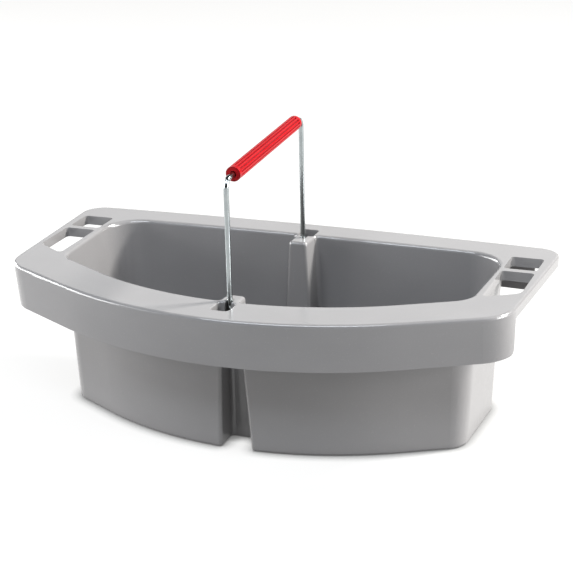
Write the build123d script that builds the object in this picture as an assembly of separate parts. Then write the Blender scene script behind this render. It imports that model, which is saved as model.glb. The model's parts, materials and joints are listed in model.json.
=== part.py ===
"""Housekeeping caddy: a moulded D-shaped carry tray, a drop bail of bent wire and its grip sleeve.

Millimetres, +Z up. The origin is the middle of the base. The long side runs along X and the bowed
front faces -Y. The tray is one injection moulding, so it is one solid.
"""
from build123d import *
import math
import os

# ---------------------------------------------------------------- overall sizes
HEIGHT = 119.0              # base to the top of the rim
LENGTH = 406.4              # rim, left to right
DEPTH = 228.6               # rim, front to back

# ---------------------------------------------------------------- rim and skirt
RIM_THICKNESS = 3.0
RIM_WIDTH_FRONT = 38.6      # rim's outer edge to the basin, along each side
RIM_WIDTH_BACK = 28.8
RIM_WIDTH_SIDE = 37.6
SIDE_TAPER = 6.4            # each side runs in by this much from its back corner to its front one
BACK_BOW = 6.5              # how far the back edge bulges in its middle
FRONT_RADIUS = 282.0        # bowed front edge of the rim
FRONT_CORNER_Y = 67.3       # front corners stand this far behind the foremost point
RIM_CORNER_BACK = 18.0
RIM_CORNER_FRONT = 32.0
RIM_EDGE_ROUND = 2.2
SKIRT_DEPTH = 37.2          # from the rim's top, at the foremost point
SKIRT_DEPTH_END = 35.0      # at the two ends of the front skirt
SKIRT_DEPTH_REAR = 34.5
SKIRT_DRAFT_FRONT = 4.6     # the skirt draws in by this much at its lower edge
SKIRT_DRAFT_BACK = 2.6
SKIRT_DRAFT_SIDE = 0.8
SKIRT_WALL = 2.6
SKIRT_SIDE_END = 86.3       # the front skirt ends on each side this far behind the foremost point
SKIRT_REAR_END = 22.0       # the rear skirt stops this far short of the rim's side
SKIRT_CORNER = 5.0
EDGE_BAR_DEPTH = 8.0        # lip of the carrying bars at the two sides

# ---------------------------------------------------------------- tub
WALL = 2.6
FLOOR = 3.0
BASIN_TAPER = 3.6           # each side of the basin runs in by this much towards the front
BASIN_BOW = 3.8
BASIN_CORNER_Y = 55.4       # front corners of the basin, behind its foremost point
BASIN_CORNER_BACK = 30.0
BASIN_CORNER_FRONT = 22.0
TUB_DRAW = 6.0              # the tub's walls draw in by this much from the rim to the base
BASE_EDGE_ROUND = 2.6
BASIN_EDGE_ROUND = 2.8
FLOOR_EDGE_ROUND = 3.0
HOLE_EDGE_ROUND = 1.2       # hand holds and pockets, at the rim's top

# ---------------------------------------------------------------- pillars that house the bail's legs
PILLAR_REACH_FRONT = 13.6   # basin edge to the pillar's face, at the rim
PILLAR_REACH_BACK = 20.6
PILLAR_LEAN_FRONT = 14.0    # the face comes this much further into the basin at the base
PILLAR_LEAN_BACK = 4.0
PILLAR_HALF_TOP = 7.4
PILLAR_HALF_BASE = 14.0
PILLAR_FLARE = 0.5          # each side is this much further out at the basin's wall than at the face
PILLAR_CORNER = 2.8

# ---------------------------------------------------------------- bail and grip
WIRE = 4.0
BAIL_TOP_FRONT = 208.4      # centre of the wire above each leg, bail raised
BAIL_TOP_BACK = 217.0
BAIL_BEND = 6.5             # radius of the wire's centre line at the two top corners
FOOT_BEND = 4.2
FOOT_REACH = 8.4            # hooked feet, from the leg's centre line
LEG_FROM_FACE_FRONT = 12.4  # the leg's centre line stands this far outside the pillar's face
LEG_FROM_FACE_BACK = 13.0
FOOT_CLEARANCE = 1.3        # the bend seats in the slot before the foot meets the roof
SLOT_CLEARANCE = 0.5        # round the wire in its slot
GRIP_FROM_LEG = 13.4        # end of the grip to the leg's centre line
GRIP_RADIUS = 5.6
GRIP_BORE_CLEARANCE = 0.35
GRIP_RIBS = 14
GRIP_RIB_DEPTH = 0.7
GRIP_RIB_SHARE = 0.62       # share of the girth that the ribs take
GRIP_END_RING = 3.2
POCKET_HALF_WIDTH = 6.8
POCKET_GAP = 4.2            # leg's centre line to the pocket
POCKET_LENGTH = 17.0
POCKET_DEPTH = 14.0
POCKET_WALL = 2.2
POCKET_CORNER = 3.0

# ---------------------------------------------------------------- hand holds
BAR_WIDTH = 9.2             # solid strip outside the hand holds
WEB = 2.8                   # between a hand hold and the basin
HOLD_DEPTH = 7.6            # lip round each hand hold, from the rim's top
HOLD_WALL = 2.2
HOLD_CORNER = 3.0
SMALL_HOLD_BACK = 33.8      # back edge of the small hole, from the rim's back corner line
SMALL_HOLD_LENGTH = 28.0
HOLD_RIB = 6.0
LONG_HOLD_INNER = 60.5      # inner and outer side of the long hole
LONG_HOLD_OUTER = 44.5
LONG_HOLD_CORNER = 10.0

OVERLAP = 1.0               # two solids that are joined share this much

# ================================================================ places worked out from the sizes
FRONT_Y = -DEPTH / 2
RIM_UNDERSIDE = HEIGHT - RIM_THICKNESS
SIDE_CORNER_GAIN = 0.8                          # the rounded back corners end this far inside
RIM_HALF_BACK = LENGTH / 2 + SIDE_CORNER_GAIN
RIM_HALF_FRONT = RIM_HALF_BACK - SIDE_TAPER
BASIN_FRONT_Y = FRONT_Y + RIM_WIDTH_FRONT
BASIN_BACK_Y = DEPTH / 2 - RIM_WIDTH_BACK
BASIN_HALF_BACK = RIM_HALF_BACK - RIM_WIDTH_SIDE
BASIN_HALF_FRONT = BASIN_HALF_BACK - BASIN_TAPER
BASIN_RADIUS = FRONT_RADIUS - RIM_WIDTH_FRONT

FACE_FRONT_Y = BASIN_FRONT_Y + PILLAR_REACH_FRONT
FACE_BACK_Y = BASIN_BACK_Y - PILLAR_REACH_BACK
LEG_FRONT_Y = FACE_FRONT_Y - LEG_FROM_FACE_FRONT
LEG_BACK_Y = FACE_BACK_Y + LEG_FROM_FACE_BACK
SLOT_HALF = WIRE / 2 + SLOT_CLEARANCE
FOOT_Z = RIM_UNDERSIDE - FOOT_CLEARANCE - WIRE / 2
GRIP_LENGTH = math.hypot(LEG_BACK_Y - LEG_FRONT_Y, BAIL_TOP_BACK - BAIL_TOP_FRONT) - 2 * GRIP_FROM_LEG


# ================================================================ plane figures
def d_outline(half_back, half_front, y_back, bow, y_corner, y_front, radius, r_back, r_front, grow=0.0):
    """D-shaped face: bowed back, straight sides, and a front arc that runs out into two tangents.

    grow moves the whole edge outwards, or inwards where it is negative.
    """
    centre_y = y_front + radius
    reach = math.hypot(half_front, centre_y - y_corner)
    turn = math.atan2(half_front, centre_y - y_corner) - math.acos(min(radius / reach, 1.0))
    touch_x = (radius + grow) * math.sin(turn)
    touch_y = centre_y - (radius + grow) * math.cos(turn)
    y_corner = y_corner - grow * math.tan(math.pi / 4 - turn / 2)
    half_back = half_back + grow
    half_front = half_front + grow
    y_back = y_back + grow
    y_front = y_front - grow
    face = make_face(
        Curve()
        + [
            ThreePointArc((-half_back, y_back - bow), (0, y_back), (half_back, y_back - bow)),
            Line((half_back, y_back - bow), (half_front, y_corner)),
            Line((half_front, y_corner), (touch_x, touch_y)),
            ThreePointArc((touch_x, touch_y), (0, y_front), (-touch_x, touch_y)),
            Line((-touch_x, touch_y), (-half_front, y_corner)),
            Line((-half_front, y_corner), (-half_back, y_back - bow)),
        ]
    )
    face = fillet(vertices_at(face, half_back, y_back - bow), r_back + grow)
    return fillet(vertices_at(face, half_front, y_corner), r_front + grow)


def vertices_at(face, x, y):
    """The face's vertices at (x, y) and at its mirror image (-x, y)."""
    return [v for v in face.vertices() if math.hypot(abs(v.X) - x, v.Y - y) < 0.01]


def rim_outline(draft=0.0, inset=0.0):
    """The rim in plan: draft is 0 at its top and 1 at the skirt's lower edge."""
    side = draft * SKIRT_DRAFT_SIDE
    front = FRONT_Y + draft * SKIRT_DRAFT_FRONT
    back = DEPTH / 2 - draft * SKIRT_DRAFT_BACK
    return d_outline(
        RIM_HALF_BACK - side, RIM_HALF_FRONT - side, back, BACK_BOW, front + FRONT_CORNER_Y, front,
        FRONT_RADIUS, RIM_CORNER_BACK, RIM_CORNER_FRONT, -inset,
    )


def basin_outline(inset=0.0):
    return d_outline(
        BASIN_HALF_BACK, BASIN_HALF_FRONT, BASIN_BACK_Y, BASIN_BOW, BASIN_FRONT_Y + BASIN_CORNER_Y,
        BASIN_FRONT_Y, BASIN_RADIUS, BASIN_CORNER_BACK, BASIN_CORNER_FRONT, -inset,
    )


def trapezoid(y_root, y_face, half_root, half_face):
    """Pillar in plan: from its face at y_face it widens to half_root at y_root, and on past the wall."""
    run = 1.6                                   # the figure goes on to this multiple of the root's distance
    y_end = y_face + (y_root - y_face) * run
    half_end = half_face + (half_root - half_face) * run
    points = [(-half_end, y_end), (-half_face, y_face), (half_face, y_face), (half_end, y_end)]
    return make_face(Polyline(*points, close=True))


def with_pillars(face, level, wall):
    """Cut both pillars out of a basin or tub outline at a level: 0 at the base, 1 at the rim."""
    half_face = PILLAR_HALF_BASE + (PILLAR_HALF_TOP - PILLAR_HALF_BASE) * level - wall
    half_root = half_face + PILLAR_FLARE
    front_face_y = FACE_FRONT_Y + PILLAR_LEAN_FRONT * (1 - level) - wall
    back_face_y = FACE_BACK_Y - PILLAR_LEAN_BACK * (1 - level) + wall
    face = face - trapezoid(BASIN_FRONT_Y, front_face_y, half_root, half_face)
    face = face - trapezoid(BASIN_BACK_Y, back_face_y, half_root, half_face)
    near = [v for v in face.vertices() if abs(v.X) < 2 * half_root]
    return fillet(near, PILLAR_CORNER)


def rounded_rectangle(x_low, x_high, y_low, y_high, radius):
    figure = RectangleRounded(x_high - x_low, y_high - y_low, radius)
    return Pos((x_low + x_high) / 2, (y_low + y_high) / 2) * figure


def prism(face, z_low, z_high):
    return extrude(Pos(0, 0, z_low) * face, amount=z_high - z_low, dir=(0, 0, 1))


# ================================================================ the tray
def rim_and_skirt():
    """Top plate with a drafted skirt all round, before its lower edge is trimmed."""
    low = HEIGHT - SKIRT_DEPTH
    shell = loft([Pos(0, 0, low) * rim_outline(1), Pos(0, 0, HEIGHT) * rim_outline()], ruled=True)
    shell = fillet(shell.edges().group_by(Axis.Z)[-1], RIM_EDGE_ROUND)
    beyond = 1 + OVERLAP / SKIRT_DEPTH
    low_face = rim_outline(beyond, SKIRT_WALL)
    top_face = rim_outline(RIM_THICKNESS / SKIRT_DEPTH, SKIRT_WALL)
    hollow = loft([Pos(0, 0, low - OVERLAP) * low_face, Pos(0, 0, RIM_UNDERSIDE) * top_face], ruled=True)
    return shell - hollow


def skirt_limits():
    """What is kept of the skirt: the front one, the rear one and the bars at the two sides."""
    y_end = FRONT_Y + SKIRT_SIDE_END
    z_end = HEIGHT - SKIRT_DEPTH_END
    y_out = FRONT_Y - OVERLAP
    z_out = HEIGHT + OVERLAP
    profile = Polyline(
        (y_out, z_out), (y_out, HEIGHT - SKIRT_DEPTH), (FRONT_Y, HEIGHT - SKIRT_DEPTH), (y_end, z_end),
        (y_end, z_out), close=True,
    )
    front = make_face(profile)
    front = fillet([v for v in front.vertices() if math.hypot(v.X - y_end, v.Y - z_end) < 0.01], SKIRT_CORNER)
    half = RIM_HALF_BACK - SKIRT_REAR_END
    z_rear = HEIGHT - SKIRT_DEPTH_REAR
    rear = make_face(Polyline((-half, z_out), (-half, z_rear), (half, z_rear), (half, z_out), close=True))
    rear = fillet([v for v in rear.vertices() if v.Y < z_rear + 0.01], SKIRT_CORNER)
    bars = Pos(0, 0, HEIGHT) * Box(2 * LENGTH, 2 * DEPTH, 2 * EDGE_BAR_DEPTH)
    front_block = extrude(Plane.YZ * front, amount=LENGTH, both=True)
    rear_block = extrude(Plane.XZ * rear, amount=-DEPTH)
    return bars + front_block + rear_block


def tub_body():
    """Outside of the tub, with the hollow of each pillar open to the front or the back."""
    low = with_pillars(basin_outline(TUB_DRAW - WALL), 0.0, WALL)
    high = with_pillars(basin_outline(-WALL), 1.0, WALL)
    body = loft([low, Pos(0, 0, HEIGHT - OVERLAP) * high], ruled=True)
    return fillet(body.edges().group_by(Axis.Z)[0], BASE_EDGE_ROUND)


def tub_cavity():
    low = with_pillars(basin_outline(TUB_DRAW), 0.0, 0.0)
    high = with_pillars(basin_outline(), 1.0, 0.0)
    cavity = loft([Pos(0, 0, FLOOR) * low, Pos(0, 0, HEIGHT) * high], ruled=True)
    return fillet(cavity.edges().group_by(Axis.Z)[0], FLOOR_EDGE_ROUND)


def pocket(y_leg, outward, grow=0.0):
    """Plan of the slot and the pocket outside a bail leg: outward is -1 at the front, 1 at the back."""
    near = y_leg + outward * POCKET_GAP
    far = near + outward * POCKET_LENGTH
    half = POCKET_HALF_WIDTH + grow
    low = min(near, far) - grow
    high = max(near, far) + grow
    return rounded_rectangle(-half, half, low, high, POCKET_CORNER + grow)


def leg_slot(y_leg, outward):
    """Slot with a round end that seats the leg and opens into its pocket."""
    run = POCKET_GAP + POCKET_CORNER
    middle = y_leg + outward * run / 2
    return Pos(0, middle) * Rectangle(2 * SLOT_HALF, run) + Pos(0, y_leg) * Circle(SLOT_HALF)


def hold_outlines(grow=0.0):
    """Plans of the two hand holds on the right-hand side."""
    inner = BASIN_HALF_BACK + WEB
    outer = RIM_HALF_BACK - BAR_WIDTH
    small_back = DEPTH / 2 - SMALL_HOLD_BACK
    small_front = small_back - SMALL_HOLD_LENGTH
    long_back = small_front - HOLD_RIB
    small = rounded_rectangle(inner - grow, outer + grow, small_front - grow, small_back + grow,
                              HOLD_CORNER + grow)
    points = [
        (inner, long_back), (outer, long_back), (outer, long_back - LONG_HOLD_OUTER),
        (inner, long_back - LONG_HOLD_INNER),
    ]
    long = make_face(Polyline(*points, close=True))
    tight = [v for v in long.vertices() if v.Y > long_back - 1 or v.X < inner + 1]
    long = fillet(tight, HOLD_CORNER)
    wide = [v for v in long.vertices() if math.hypot(v.X - outer, v.Y - points[2][1]) < 0.01]
    long = fillet(wide, LONG_HOLD_CORNER)
    long = offset(long, grow, kind=Kind.INTERSECTION) if grow else long
    return [small, long]


def top_holes(body):
    """Edges of each hole in the rim's top face, the basin's first."""
    level = [f for f in body.faces() if abs(f.center().Z - HEIGHT) < 0.01]
    top = max(level, key=lambda f: f.area)
    return sorted(top.inner_wires(), key=lambda w: -w.length)


def both_sides(figures):
    return figures + [mirror(figure, about=Plane.YZ) for figure in figures]


def tray():
    body = (rim_and_skirt() & skirt_limits()) + tub_body() - tub_cavity()
    body = fillet(top_holes(body)[0].edges(), BASIN_EDGE_ROUND)
    for lip, hole in zip(both_sides(hold_outlines(HOLD_WALL)), both_sides(hold_outlines())):
        ring = lip - hole
        body = body + prism(ring, HEIGHT - HOLD_DEPTH, RIM_UNDERSIDE + OVERLAP)
        body = body - prism(hole, HEIGHT - 2 * HOLD_DEPTH, HEIGHT + OVERLAP)
    for y_leg, outward in ((LEG_FRONT_Y, -1), (LEG_BACK_Y, 1)):
        ring = pocket(y_leg, outward, POCKET_WALL) - pocket(y_leg, outward)
        body = body + prism(ring, HEIGHT - POCKET_DEPTH, RIM_UNDERSIDE + OVERLAP)
        opening = pocket(y_leg, outward) + leg_slot(y_leg, outward)
        body = body - prism(opening, HEIGHT - POCKET_DEPTH - OVERLAP, HEIGHT + OVERLAP)
    for hole in top_holes(body)[1:]:
        body = fillet(hole.edges(), HOLE_EDGE_ROUND)
    return body


# ================================================================ the bail and its grip
def bail():
    path = FilletPolyline(
        (0, LEG_FRONT_Y + FOOT_REACH, FOOT_Z),
        (0, LEG_FRONT_Y, FOOT_Z),
        (0, LEG_FRONT_Y, BAIL_TOP_FRONT),
        (0, LEG_BACK_Y, BAIL_TOP_BACK),
        (0, LEG_BACK_Y, FOOT_Z),
        (0, LEG_BACK_Y - FOOT_REACH, FOOT_Z),
        radius=[FOOT_BEND, BAIL_BEND, BAIL_BEND, FOOT_BEND],
    )
    start = Plane(origin=path @ 0, z_dir=path % 0)
    return sweep(start * Circle(WIRE / 2), path=path)


def grip():
    """Sleeve with lengthwise ribs and a plain ring at each end, free to turn on the wire."""
    valley = Circle(GRIP_RADIUS - GRIP_RIB_DEPTH)
    rib_width = 2 * math.pi * GRIP_RADIUS / GRIP_RIBS * GRIP_RIB_SHARE
    rib = Pos(GRIP_RADIUS - GRIP_RIB_DEPTH, 0) * RectangleRounded(
        2 * GRIP_RIB_DEPTH, rib_width, GRIP_RIB_DEPTH * 0.6
    )
    section = valley
    for index in range(GRIP_RIBS):
        section = section + Rot(0, 0, 360 * index / GRIP_RIBS) * rib
    ribbed = extrude(section, amount=GRIP_LENGTH / 2 - GRIP_END_RING / 2, both=True)
    rings = Cylinder(GRIP_RADIUS, GRIP_LENGTH) - Cylinder(GRIP_RADIUS, GRIP_LENGTH - 2 * GRIP_END_RING)
    sleeve = ribbed + rings - Cylinder(WIRE / 2 + GRIP_BORE_CLEARANCE, GRIP_LENGTH + OVERLAP)
    rise = math.degrees(math.atan2(BAIL_TOP_BACK - BAIL_TOP_FRONT, LEG_BACK_Y - LEG_FRONT_Y))
    middle = Pos(0, (LEG_FRONT_Y + LEG_BACK_Y) / 2, (BAIL_TOP_FRONT + BAIL_TOP_BACK) / 2)
    return middle * Rot(90 + rise, 0, 0) * sleeve


def main():
    os.makedirs("parts", exist_ok=True)
    pieces = {"tray": tray(), "bail": bail(), "grip_sleeve": grip()}
    for name, piece in pieces.items():
        export_step(piece, f"parts/{name}.step")


main()
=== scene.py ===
"""Looks of the housekeeping caddy: moulded grey tray, zinc-plated wire bail, ribbed red grip."""

import bpy
import json
import math
from mathutils import Matrix, Vector

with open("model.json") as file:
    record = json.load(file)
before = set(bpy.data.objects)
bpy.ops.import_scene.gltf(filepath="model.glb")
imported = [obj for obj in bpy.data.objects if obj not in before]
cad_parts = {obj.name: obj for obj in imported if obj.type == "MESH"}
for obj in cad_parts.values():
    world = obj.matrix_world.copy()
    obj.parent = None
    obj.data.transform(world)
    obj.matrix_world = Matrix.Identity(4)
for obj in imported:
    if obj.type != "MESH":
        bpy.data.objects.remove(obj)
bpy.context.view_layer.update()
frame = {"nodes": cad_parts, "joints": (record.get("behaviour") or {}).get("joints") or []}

# ------------------------------------------------------------------ camera, metres and degrees
CAMERA_AZIMUTH = 21.08          # round from the front, towards +X
CAMERA_ELEVATION = 19.67
CAMERA_ROLL = -1.24
CAMERA_DISTANCE = 1.2423
CAMERA_TARGET = Vector((0.0171, -0.0054, 0.1077))
CAMERA_LENS = 103.7             # millimetres, on the sensor below
CAMERA_SENSOR = 36.0

# ------------------------------------------------------------------ floor and surround
FLOOR_SIZE = 14.0
FLOOR_GLOW = 0.80               # emission of the white floor, which also lights the tray from below
CONTACT_GLOW = 0.2              # share of that emission left right beside the tray, as a painted contact shadow
CONTACT_REACH = 0.010           # distance over which the painted contact shadow darkens the floor towards the tray
SURROUND_GLOW = 0.06

# ------------------------------------------------------------------ grip
GRIP_SPIN = next(joint for joint in frame["joints"] if joint["name"] == "grip_spin")
GRIP_CREST = 0.00545            # radius from which a rib counts as its crest
GRIP_VALLEY = 0.00492           # radius at the bottom of the grooves
GRIP_VALLEY_BLEND = 0.0001


def add_camera():
    azimuth = math.radians(CAMERA_AZIMUTH)
    elevation = math.radians(CAMERA_ELEVATION)
    back = Vector((
        math.sin(azimuth) * math.cos(elevation),
        -math.cos(azimuth) * math.cos(elevation),
        math.sin(elevation),
    ))
    camera = bpy.data.objects.new("camera", bpy.data.cameras.new("camera"))
    bpy.context.scene.collection.objects.link(camera)
    camera.data.lens = CAMERA_LENS
    camera.data.sensor_width = CAMERA_SENSOR
    turn = back.to_track_quat("Z", "Y").to_matrix().to_4x4()
    roll = Matrix.Rotation(math.radians(CAMERA_ROLL), 4, "Z")
    camera.matrix_world = Matrix.Translation(CAMERA_TARGET + back * CAMERA_DISTANCE) @ turn @ roll
    bpy.context.scene.camera = camera


# ------------------------------------------------------------------ node helpers
class Shader:
    """A Principled material whose textures are read in the object's own metres."""

    def __init__(self, name):
        self.material = bpy.data.materials.new(name)
        self.material.use_nodes = True
        self.tree = self.material.node_tree
        self.surface = self.tree.nodes["Principled BSDF"]
        self.place = self.add("ShaderNodeTexCoord").outputs["Object"]

    def add(self, kind, **values):
        node = self.tree.nodes.new(kind)
        for key, value in values.items():
            setattr(node, key, value)
        return node

    def put(self, socket, value):
        """A number or colour is set on the socket, and another socket is linked to it."""
        if isinstance(value, bpy.types.NodeSocket):
            self.tree.links.new(value, socket)
        else:
            socket.default_value = value

    def stretched(self, scale):
        mapping = self.add("ShaderNodeMapping")
        self.put(mapping.inputs["Scale"], scale)
        self.put(mapping.inputs["Vector"], self.place)
        return mapping.outputs["Vector"]

    def noise(self, scale, detail=3.0, roughness=0.5, stretch=None):
        """Noise whose lumps are about 1/scale metres across, stretched along the axes if asked."""
        node = self.add("ShaderNodeTexNoise")
        self.put(node.inputs["Vector"], self.stretched(stretch) if stretch else self.place)
        self.put(node.inputs["Scale"], scale)
        self.put(node.inputs["Detail"], detail)
        self.put(node.inputs["Roughness"], roughness)
        return node.outputs["Fac"]

    def ranged(self, source, low, high, start=0.3, end=0.7):
        """The source's values from start to end become low to high, and stay there outside."""
        node = self.add("ShaderNodeMapRange")
        self.put(node.inputs["Value"], source)
        for socket, value in zip(("From Min", "From Max", "To Min", "To Max"), (start, end, low, high)):
            self.put(node.inputs[socket], value)
        return node.outputs["Result"]

    def combine(self, operation, first, second):
        node = self.add("ShaderNodeMath", operation=operation)
        self.put(node.inputs[0], first)
        self.put(node.inputs[1], second)
        return node.outputs["Value"]

    def combine_vectors(self, operation, first, second):
        node = self.add("ShaderNodeVectorMath", operation=operation)
        self.put(node.inputs[0], first)
        self.put(node.inputs[1], second)
        return node.outputs["Vector"]

    def radius(self, point, axis):
        """Distance from the line along the unit axis through the point."""
        reach = self.combine_vectors("SUBTRACT", self.place, point)
        across = self.combine_vectors("CROSS_PRODUCT", reach, axis)
        length = self.add("ShaderNodeVectorMath", operation="LENGTH")
        self.put(length.inputs[0], across)
        return length.outputs["Value"]

    def mix(self, factor, first, second):
        node = self.add("ShaderNodeMix", data_type="RGBA")
        self.put(node.inputs["Factor"], factor)
        self.put(node.inputs["A"], first)
        self.put(node.inputs["B"], second)
        return node.outputs["Result"]

    def bump(self, height, distance, strength, below=None):
        node = self.add("ShaderNodeBump")
        self.put(node.inputs["Height"], height)
        self.put(node.inputs["Distance"], distance)
        self.put(node.inputs["Strength"], strength)
        if below:
            self.put(node.inputs["Normal"], below)
        return node.outputs["Normal"]

    def finish(self, colour, roughness, normal, **fixed):
        """Fill the surface's sockets; a fixed one's name is written with _ for each space."""
        self.put(self.surface.inputs["Base Color"], colour)
        self.put(self.surface.inputs["Roughness"], roughness)
        self.put(self.surface.inputs["Normal"], normal)
        for key, value in fixed.items():
            self.put(self.surface.inputs[key.replace("_", " ")], value)
        return self.material


# ------------------------------------------------------------------ materials
def tray_plastic():
    """Glossy moulded polypropylene: faint flow clouds, a fine moulded grain and light handling scuffs."""
    s = Shader("tray_plastic")
    clouds = s.ranged(s.noise(9.0, 4.0, 0.55, (1.0, 1.0, 1.6)), 0.0, 1.0)
    colour = s.mix(clouds, (0.130, 0.127, 0.128, 1), (0.145, 0.142, 0.143, 1))
    specks = s.ranged(s.noise(900.0, 2.0), 0.0, 0.35, 0.62, 0.78)
    colour = s.mix(specks, colour, (0.19, 0.187, 0.188, 1))
    scuffs = s.ranged(s.noise(70.0, 5.0, 0.65, (0.35, 2.4, 1.2)), 0.0, 0.06, 0.56, 0.74)
    satin = s.ranged(s.noise(26.0, 3.0), 0.12, 0.17)
    roughness = s.combine("ADD", satin, scuffs)
    waves = s.bump(s.noise(55.0, 1.5), 0.00016, 0.5)
    grain = s.bump(s.noise(1500.0, 2.0), 0.00002, 0.4, waves)
    return s.finish(colour, roughness, grain, IOR=1.5)


def bail_wire():
    """Bright zinc on drawn wire: streaks along its length, and slightly duller patches."""
    s = Shader("bail_wire")
    patches = s.ranged(s.noise(260.0, 4.0, 0.6, (1.0, 0.35, 0.35)), 0.0, 1.0)
    colour = s.mix(patches, (0.32, 0.35, 0.36, 1), (0.41, 0.44, 0.44, 1))
    streaks = s.noise(1600.0, 3.0, 0.6, (1.0, 0.03, 0.03))
    dull = s.ranged(patches, 0.17, 0.11, 0.0, 1.0)
    roughness = s.combine("ADD", dull, s.ranged(streaks, 0.0, 0.05))
    drawn = s.bump(streaks, 0.00002, 0.3)
    return s.finish(colour, roughness, drawn, Metallic=1.0)


def grip_plastic():
    """Red extruded sleeve: glossy ribs, grooves darkened with painted shade, fine streaks along it and
    uneven pigment.
    """
    s = Shader("grip_plastic")
    pigment = s.ranged(s.noise(130.0, 4.0, 0.6, (1.0, 0.25, 1.0)), 0.0, 1.0)
    colour = s.mix(pigment, (0.178, 0.002, 0.004, 1), (0.222, 0.003, 0.005, 1))
    radius = s.radius(GRIP_SPIN["pos_m"], GRIP_SPIN["axis"])
    # Painted shade: the colour darkens from the rib crests down into the grooves; radii inside the groove
    # bottoms keep the plain red.
    groove_shade = s.ranged(radius, 1.0, 0.0, GRIP_VALLEY, GRIP_CREST)
    sleeve_end = GRIP_VALLEY - 3 * GRIP_VALLEY_BLEND
    outside = s.ranged(radius, 0.0, 1.0, sleeve_end, GRIP_VALLEY - GRIP_VALLEY_BLEND)
    colour = s.mix(s.combine("MULTIPLY", groove_shade, outside), colour, (0.125, 0.002, 0.004, 1))
    streaks = s.noise(1300.0, 3.0, 0.55, (1.0, 0.04, 1.0))
    roughness = s.ranged(streaks, 0.22, 0.34)
    drawn = s.bump(streaks, 0.00005, 0.4)
    return s.finish(colour, roughness, drawn, IOR=1.45, Specular_IOR_Level=0.11)


def floor_paper():
    """Seamless white paper: bright, darkened close to what stands on it by a painted contact shadow, with
    the faintest tooth.
    """
    s = Shader("floor_paper")
    clouds = s.ranged(s.noise(3.0, 2.0), 0.0, 1.0)
    colour = s.mix(clouds, (0.100, 0.100, 0.100, 1), (0.106, 0.106, 0.106, 1))
    # Painted contact shadow: the floor's emission is dimmed where the tray stands close by.
    open_sky = s.add("ShaderNodeAmbientOcclusion", samples=4)
    s.put(open_sky.inputs["Distance"], CONTACT_REACH)
    glow_with_painted_shadow = s.ranged(open_sky.outputs["AO"], CONTACT_GLOW * FLOOR_GLOW, FLOOR_GLOW, 0.4, 0.9)
    tooth = s.bump(s.noise(700.0, 4.0, 0.6), 0.00005, 0.3)
    return s.finish(
        colour, 0.85, tooth,
        Emission_Color=(1.0, 0.995, 0.985, 1), Emission_Strength=glow_with_painted_shadow, Specular_IOR_Level=0.1,
    )


def dress(node, material):
    materials = frame["nodes"][node].data.materials
    materials.clear()
    materials.append(material)


# ------------------------------------------------------------------ stage and light
def add_floor():
    bpy.ops.mesh.primitive_plane_add(size=FLOOR_SIZE, location=(0, 0, 0))
    floor = bpy.context.object
    floor.name = "floor"
    floor.data.materials.append(floor_paper())


def add_world():
    """A faint, slightly blue surround."""
    world = bpy.data.worlds.new("world")
    bpy.context.scene.world = world
    world.use_nodes = True
    background = world.node_tree.nodes["Background"]
    background.inputs["Color"].default_value = (0.93, 0.97, 1.0, 1)
    background.inputs["Strength"].default_value = SURROUND_GLOW


def add_area(name, location, size, power, colour=(1, 1, 1)):
    """A rectangular light, size wide and high in metres, that faces the middle of the object."""
    middle = Vector((0, 0, 0.1))
    light = bpy.data.objects.new(name, bpy.data.lights.new(name, "AREA"))
    bpy.context.scene.collection.objects.link(light)
    light.data.shape = "RECTANGLE"
    light.data.size, light.data.size_y = size
    light.data.energy = power
    light.data.color = colour
    light.location = location
    light.rotation_mode = "QUATERNION"
    light.rotation_quaternion = (Vector(location) - middle).to_track_quat("Z", "Y")


def add_lights():
    add_area("key", (1.2, 0.8, 1.28), (0.34, 0.34), 106, (1.0, 0.98, 0.94))
    add_area("right", (1.7, 0.1, 0.45), (0.8, 0.7), 48)
    add_area("left", (-1.6, 0.0, 0.36), (2.2, 0.66), 68)
    add_area("front_left", (-1.3, -1.1, 0.7), (0.6, 0.8), 5)
    add_area("front_top", (0.0, -1.0, 1.7), (1.6, 0.8), 53, (0.87, 0.93, 1.0))
    add_area("back", (-0.5, 2.2, 0.95), (3.0, 1.1), 11)


add_camera()
dress("tray", tray_plastic())
dress("bail", bail_wire())
dress("grip_sleeve", grip_plastic())
add_floor()
add_world()
add_lights()
bpy.context.scene.view_settings.view_transform = "Standard"
